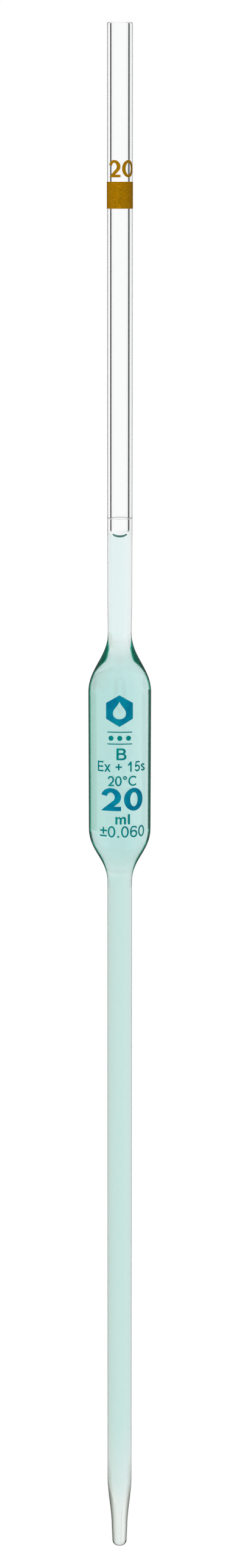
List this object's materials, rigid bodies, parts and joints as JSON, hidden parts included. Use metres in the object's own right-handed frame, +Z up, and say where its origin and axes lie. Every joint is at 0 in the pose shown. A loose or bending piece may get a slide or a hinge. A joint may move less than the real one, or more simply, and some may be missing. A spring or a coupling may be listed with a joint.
{
  "type": "volumetric pipette",
  "caption": "Slim glass pipette with a cylindrical bulb, ring mark, colour-code band, printed capacity and tapered jet, filled with pale green liquid.",
  "frame": {"origin": "centre of the jet's end, on the axis", "axes": "+Z up the axis to the suction end; the print faces -Y; +X to the reader's right"},
  "size_m": [0.0204, 0.0204, 0.5],
  "materials": {
    "clear_glass": "clear, fire-polished, slightly wavy drawn tube",
    "green_liquid": "clear pale green aqueous solution",
    "amber_enamel": "fired amber diffusion stain, finely mottled, semi-gloss",
    "teal_enamel": "fired teal enamel print, semi-gloss, slightly uneven",
    "pale_enamel": "fine pale grey fired ring line"
  },
  "bodies": {
    "root": {"suction_tube": "clear_glass", "bulb": "clear_glass", "delivery_tube": "clear_glass", "delivery_jet": "clear_glass", "liquid_column": "green_liquid", "colour_code_band": "amber_enamel", "ring_mark": "pale_enamel", "suction_digit_2": "amber_enamel", "suction_digit_0": "amber_enamel", "emblem_hexagon": "teal_enamel", "rule_upper": "teal_enamel", "rule_lower": "teal_enamel", "emblem_dot_left": "teal_enamel", "emblem_dot_middle": "teal_enamel", "emblem_dot_right": "teal_enamel", "class_letter": "teal_enamel", "delivery_letter_e": "teal_enamel", "delivery_letter_x": "teal_enamel", "delivery_plus": "teal_enamel", "delivery_digit_1": "teal_enamel", "delivery_digit_5": "teal_enamel", "delivery_letter_s": "teal_enamel", "temperature_digit_2": "teal_enamel", "temperature_digit_0": "teal_enamel", "temperature_degree": "teal_enamel", "temperature_letter_c": "teal_enamel", "capacity_digit_2": "teal_enamel", "capacity_digit_0": "teal_enamel", "unit_letter_m": "teal_enamel", "unit_letter_l": "teal_enamel", "tolerance_plus": "teal_enamel", "tolerance_digit_0": "teal_enamel", "tolerance_point": "teal_enamel", "tolerance_tenths_0": "teal_enamel", "tolerance_hundredths_6": "teal_enamel", "tolerance_thousandths_0": "teal_enamel", "tolerance_minus": "teal_enamel"}
  },
  "joints": []
}
